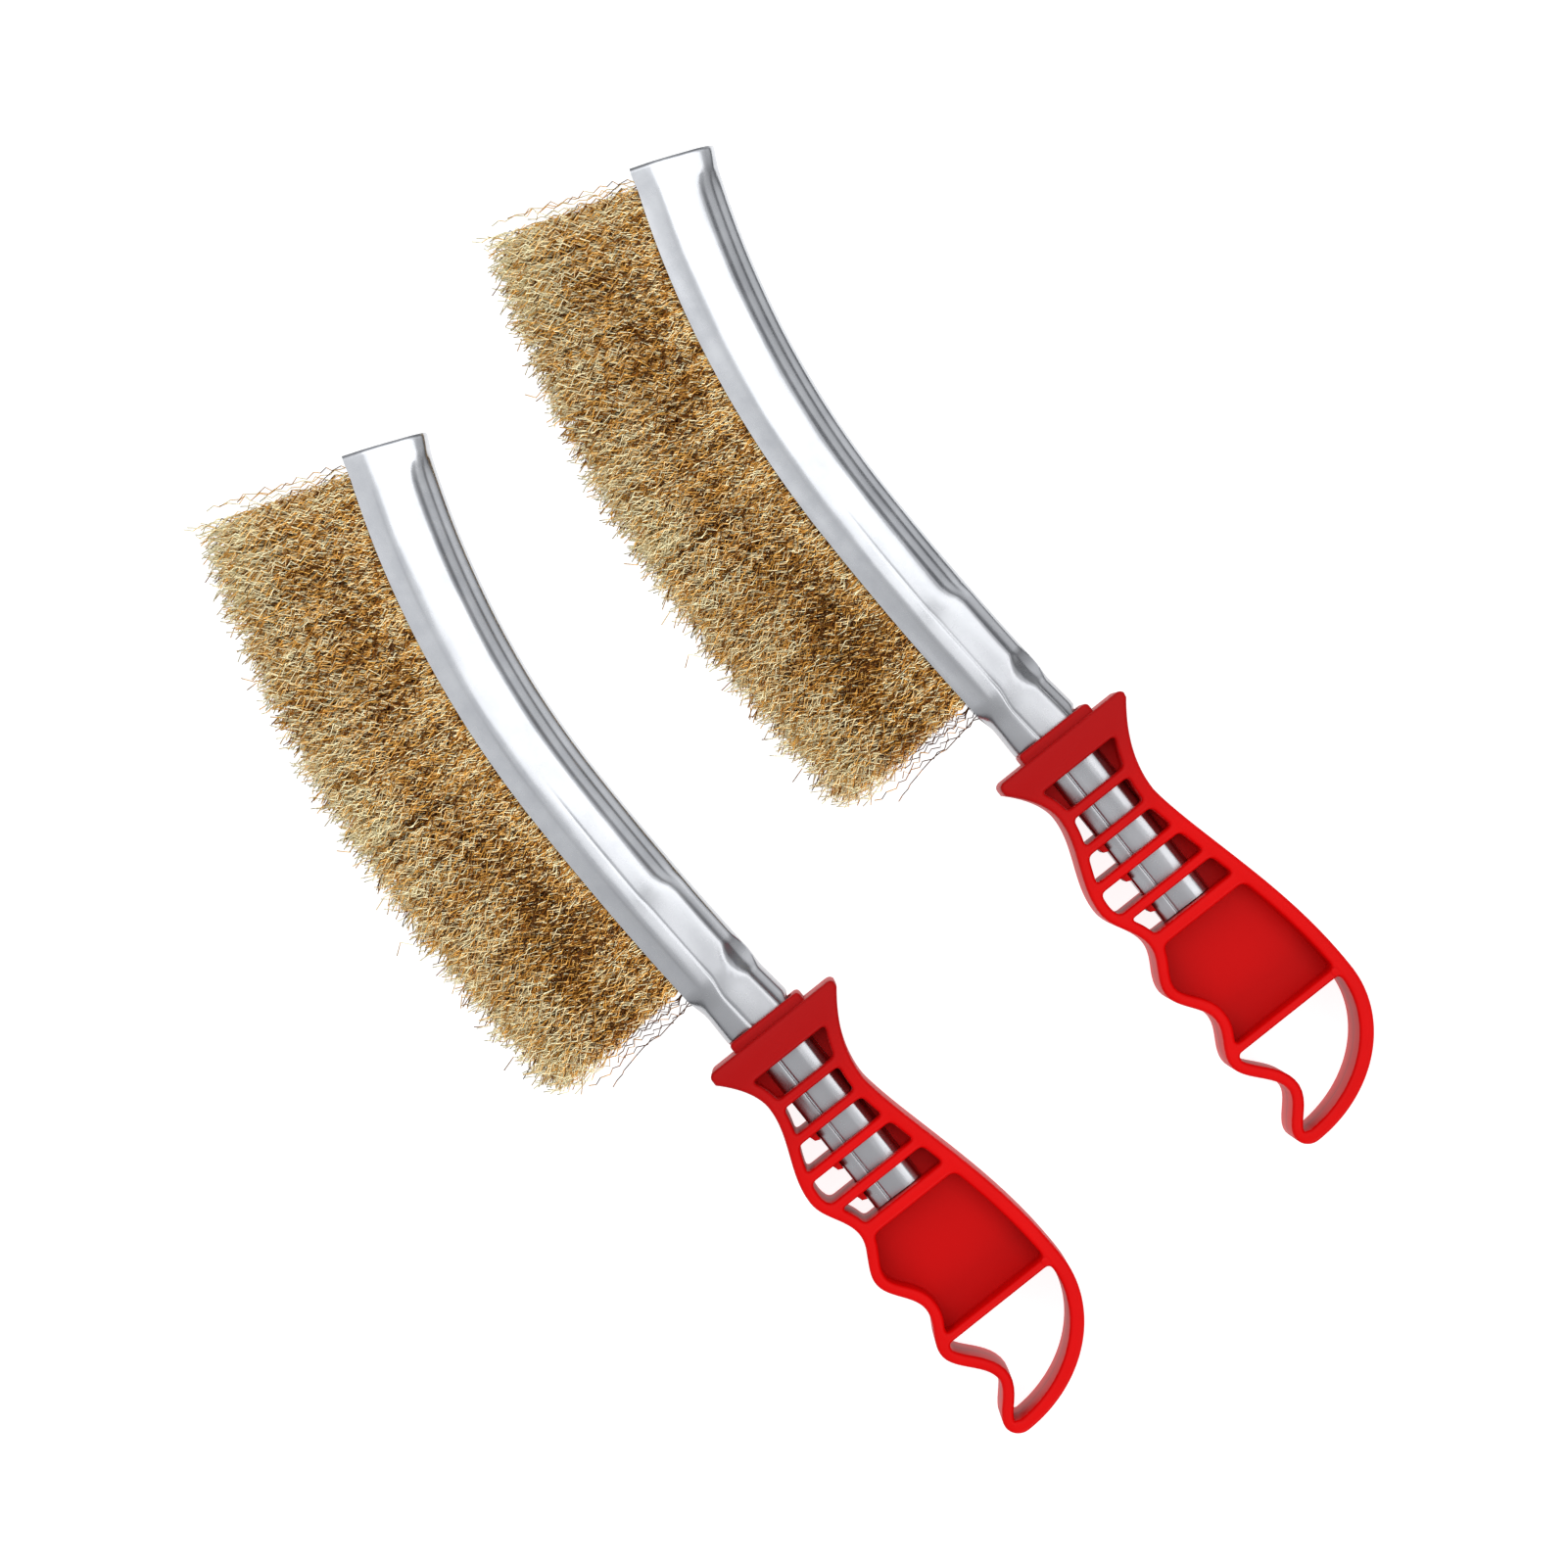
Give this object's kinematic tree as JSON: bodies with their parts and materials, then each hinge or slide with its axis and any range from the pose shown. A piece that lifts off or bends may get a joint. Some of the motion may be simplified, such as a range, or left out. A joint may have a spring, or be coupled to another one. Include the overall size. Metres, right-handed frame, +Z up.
{
  "type": "hand wire scratch brush pair",
  "caption": "Two knife-shaped wire scratch brushes: curved steel channels packed with crimped brass-coated wire, on ribbed moulded grips with a hanging loop.",
  "frame": {"origin": "on the floor under the middle of the pair's footprint", "axes": "+X from the grips towards the heads, +Y the way the wires point, +Z up through the thickness of the brushes, which lie on their sides"},
  "size_m": [0.2808, 0.1586, 0.02],
  "materials": {
    "red_plastic_a": "satin moulded",
    "bright_steel_a": "bright zinc-plated sheet",
    "brassed_wire_a": "crimped, brass-coated steel wire",
    "plain_wire_a": "drawn wire",
    "red_plastic_b": "satin moulded",
    "bright_steel_b": "bright zinc-plated sheet",
    "brassed_wire_b": "crimped, brass-coated steel wire",
    "plain_wire_b": "drawn wire"
  },
  "bodies": {
    "brush_a": {"grip_a": "red_plastic_a", "channel_a": "bright_steel_a", "wire_root_a": "brassed_wire_a", "core_wire_a": "plain_wire_a"},
    "tuft_a_01": {"tuft_a_01": "brassed_wire_a"},
    "tuft_a_02": {"tuft_a_02": "brassed_wire_a"},
    "tuft_a_03": {"tuft_a_03": "brassed_wire_a"},
    "tuft_a_04": {"tuft_a_04": "brassed_wire_a"},
    "tuft_a_05": {"tuft_a_05": "brassed_wire_a"},
    "tuft_a_06": {"tuft_a_06": "brassed_wire_a"},
    "tuft_a_07": {"tuft_a_07": "brassed_wire_a"},
    "tuft_a_08": {"tuft_a_08": "brassed_wire_a"},
    "tuft_a_09": {"tuft_a_09": "brassed_wire_a"},
    "tuft_a_10": {"tuft_a_10": "brassed_wire_a"},
    "tuft_a_11": {"tuft_a_11": "brassed_wire_a"},
    "tuft_a_12": {"tuft_a_12": "brassed_wire_a"},
    "brush_b": {"grip_b": "red_plastic_b", "channel_b": "bright_steel_b", "wire_root_b": "brassed_wire_b", "core_wire_b": "plain_wire_b"},
    "tuft_b_01": {"tuft_b_01": "brassed_wire_b"},
    "tuft_b_02": {"tuft_b_02": "brassed_wire_b"},
    "tuft_b_03": {"tuft_b_03": "brassed_wire_b"},
    "tuft_b_04": {"tuft_b_04": "brassed_wire_b"},
    "tuft_b_05": {"tuft_b_05": "brassed_wire_b"},
    "tuft_b_06": {"tuft_b_06": "brassed_wire_b"},
    "tuft_b_07": {"tuft_b_07": "brassed_wire_b"},
    "tuft_b_08": {"tuft_b_08": "brassed_wire_b"},
    "tuft_b_09": {"tuft_b_09": "brassed_wire_b"},
    "tuft_b_10": {"tuft_b_10": "brassed_wire_b"},
    "tuft_b_11": {"tuft_b_11": "brassed_wire_b"},
    "tuft_b_12": {"tuft_b_12": "brassed_wire_b"}
  },
  "joints": [
    {"name": "lift_b", "type": "slide", "parent": "brush_a", "child": "brush_b", "axis": [0, 0, 1], "range_m": [0, 0.15]},
    {"name": "lean_a_01", "type": "hinge", "parent": "brush_a", "child": "tuft_a_01", "pos_m": [-0.01137, 0.0435, 0.01], "axis": [0, 0, 1], "range_deg": [-12, 12], "stiffness_Nm_per_rad": 0.6},
    {"name": "lean_a_02", "type": "hinge", "parent": "brush_a", "child": "tuft_a_02", "pos_m": [-0.00015, 0.04407, 0.01], "axis": [0, 0, 1], "range_deg": [-12, 12], "stiffness_Nm_per_rad": 0.6},
    {"name": "lean_a_03", "type": "hinge", "parent": "brush_a", "child": "tuft_a_03", "pos_m": [0.01107, 0.04447, 0.01], "axis": [0, 0, 1], "range_deg": [-12, 12], "stiffness_Nm_per_rad": 0.6},
    {"name": "lean_a_04", "type": "hinge", "parent": "brush_a", "child": "tuft_a_04", "pos_m": [0.0223, 0.04471, 0.01], "axis": [0, 0, 1], "range_deg": [-12, 12], "stiffness_Nm_per_rad": 0.6},
    {"name": "lean_a_05", "type": "hinge", "parent": "brush_a", "child": "tuft_a_05", "pos_m": [0.03354, 0.04478, 0.01], "axis": [0, 0, 1], "range_deg": [-12, 12], "stiffness_Nm_per_rad": 0.6},
    {"name": "lean_a_06", "type": "hinge", "parent": "brush_a", "child": "tuft_a_06", "pos_m": [0.04505, 0.04447, 0.01], "axis": [0, 0, 1], "range_deg": [-12, 12], "stiffness_Nm_per_rad": 0.6},
    {"name": "lean_a_07", "type": "hinge", "parent": "brush_a", "child": "tuft_a_07", "pos_m": [0.05653, 0.0436, 0.01], "axis": [0, 0, 1], "range_deg": [-12, 12], "stiffness_Nm_per_rad": 0.6},
    {"name": "lean_a_08", "type": "hinge", "parent": "brush_a", "child": "tuft_a_08", "pos_m": [0.06796, 0.04216, 0.01], "axis": [0, 0, 1], "range_deg": [-12, 12], "stiffness_Nm_per_rad": 0.6},
    {"name": "lean_a_09", "type": "hinge", "parent": "brush_a", "child": "tuft_a_09", "pos_m": [0.0793, 0.04017, 0.01], "axis": [0, 0, 1], "range_deg": [-12, 12], "stiffness_Nm_per_rad": 0.6},
    {"name": "lean_a_10", "type": "hinge", "parent": "brush_a", "child": "tuft_a_10", "pos_m": [0.09053, 0.03762, 0.01], "axis": [0, 0, 1], "range_deg": [-12, 12], "stiffness_Nm_per_rad": 0.6},
    {"name": "lean_a_11", "type": "hinge", "parent": "brush_a", "child": "tuft_a_11", "pos_m": [0.10162, 0.03453, 0.01], "axis": [0, 0, 1], "range_deg": [-12, 12], "stiffness_Nm_per_rad": 0.6},
    {"name": "lean_a_12", "type": "hinge", "parent": "brush_a", "child": "tuft_a_12", "pos_m": [0.11255, 0.03089, 0.01], "axis": [0, 0, 1], "range_deg": [-12, 12], "stiffness_Nm_per_rad": 0.6},
    {"name": "lean_b_01", "type": "hinge", "parent": "brush_b", "child": "tuft_b_01", "pos_m": [-0.00118, -0.0463, 0.01], "axis": [0, 0, 1], "range_deg": [-12, 12], "stiffness_Nm_per_rad": 0.6},
    {"name": "lean_b_02", "type": "hinge", "parent": "brush_b", "child": "tuft_b_02", "pos_m": [0.01005, -0.04573, 0.01], "axis": [0, 0, 1], "range_deg": [-12, 12], "stiffness_Nm_per_rad": 0.6},
    {"name": "lean_b_03", "type": "hinge", "parent": "brush_b", "child": "tuft_b_03", "pos_m": [0.02127, -0.04533, 0.01], "axis": [0, 0, 1], "range_deg": [-12, 12], "stiffness_Nm_per_rad": 0.6},
    {"name": "lean_b_04", "type": "hinge", "parent": "brush_b", "child": "tuft_b_04", "pos_m": [0.0325, -0.04509, 0.01], "axis": [0, 0, 1], "range_deg": [-12, 12], "stiffness_Nm_per_rad": 0.6},
    {"name": "lean_b_05", "type": "hinge", "parent": "brush_b", "child": "tuft_b_05", "pos_m": [0.04374, -0.04502, 0.01], "axis": [0, 0, 1], "range_deg": [-12, 12], "stiffness_Nm_per_rad": 0.6},
    {"name": "lean_b_06", "type": "hinge", "parent": "brush_b", "child": "tuft_b_06", "pos_m": [0.05525, -0.04533, 0.01], "axis": [0, 0, 1], "range_deg": [-12, 12], "stiffness_Nm_per_rad": 0.6},
    {"name": "lean_b_07", "type": "hinge", "parent": "brush_b", "child": "tuft_b_07", "pos_m": [0.06673, -0.0462, 0.01], "axis": [0, 0, 1], "range_deg": [-12, 12], "stiffness_Nm_per_rad": 0.6},
    {"name": "lean_b_08", "type": "hinge", "parent": "brush_b", "child": "tuft_b_08", "pos_m": [0.07816, -0.04764, 0.01], "axis": [0, 0, 1], "range_deg": [-12, 12], "stiffness_Nm_per_rad": 0.6},
    {"name": "lean_b_09", "type": "hinge", "parent": "brush_b", "child": "tuft_b_09", "pos_m": [0.0895, -0.04963, 0.01], "axis": [0, 0, 1], "range_deg": [-12, 12], "stiffness_Nm_per_rad": 0.6},
    {"name": "lean_b_10", "type": "hinge", "parent": "brush_b", "child": "tuft_b_10", "pos_m": [0.10073, -0.05218, 0.01], "axis": [0, 0, 1], "range_deg": [-12, 12], "stiffness_Nm_per_rad": 0.6},
    {"name": "lean_b_11", "type": "hinge", "parent": "brush_b", "child": "tuft_b_11", "pos_m": [0.11182, -0.05527, 0.01], "axis": [0, 0, 1], "range_deg": [-12, 12], "stiffness_Nm_per_rad": 0.6},
    {"name": "lean_b_12", "type": "hinge", "parent": "brush_b", "child": "tuft_b_12", "pos_m": [0.12275, -0.05891, 0.01], "axis": [0, 0, 1], "range_deg": [-12, 12], "stiffness_Nm_per_rad": 0.6}
  ],
  "couplings": [
    {"joint": "lean_a_01", "follows": "lean_a_06", "ratio": 1},
    {"joint": "lean_a_02", "follows": "lean_a_06", "ratio": 1},
    {"joint": "lean_a_03", "follows": "lean_a_06", "ratio": 1},
    {"joint": "lean_a_04", "follows": "lean_a_06", "ratio": 1},
    {"joint": "lean_a_05", "follows": "lean_a_06", "ratio": 1},
    {"joint": "lean_a_07", "follows": "lean_a_06", "ratio": 1},
    {"joint": "lean_a_08", "follows": "lean_a_06", "ratio": 1},
    {"joint": "lean_a_09", "follows": "lean_a_06", "ratio": 1},
    {"joint": "lean_a_10", "follows": "lean_a_06", "ratio": 1},
    {"joint": "lean_a_11", "follows": "lean_a_06", "ratio": 1},
    {"joint": "lean_a_12", "follows": "lean_a_06", "ratio": 1},
    {"joint": "lean_b_01", "follows": "lean_b_06", "ratio": 1},
    {"joint": "lean_b_02", "follows": "lean_b_06", "ratio": 1},
    {"joint": "lean_b_03", "follows": "lean_b_06", "ratio": 1},
    {"joint": "lean_b_04", "follows": "lean_b_06", "ratio": 1},
    {"joint": "lean_b_05", "follows": "lean_b_06", "ratio": 1},
    {"joint": "lean_b_07", "follows": "lean_b_06", "ratio": 1},
    {"joint": "lean_b_08", "follows": "lean_b_06", "ratio": 1},
    {"joint": "lean_b_09", "follows": "lean_b_06", "ratio": 1},
    {"joint": "lean_b_10", "follows": "lean_b_06", "ratio": 1},
    {"joint": "lean_b_11", "follows": "lean_b_06", "ratio": 1},
    {"joint": "lean_b_12", "follows": "lean_b_06", "ratio": 1}
  ]
}
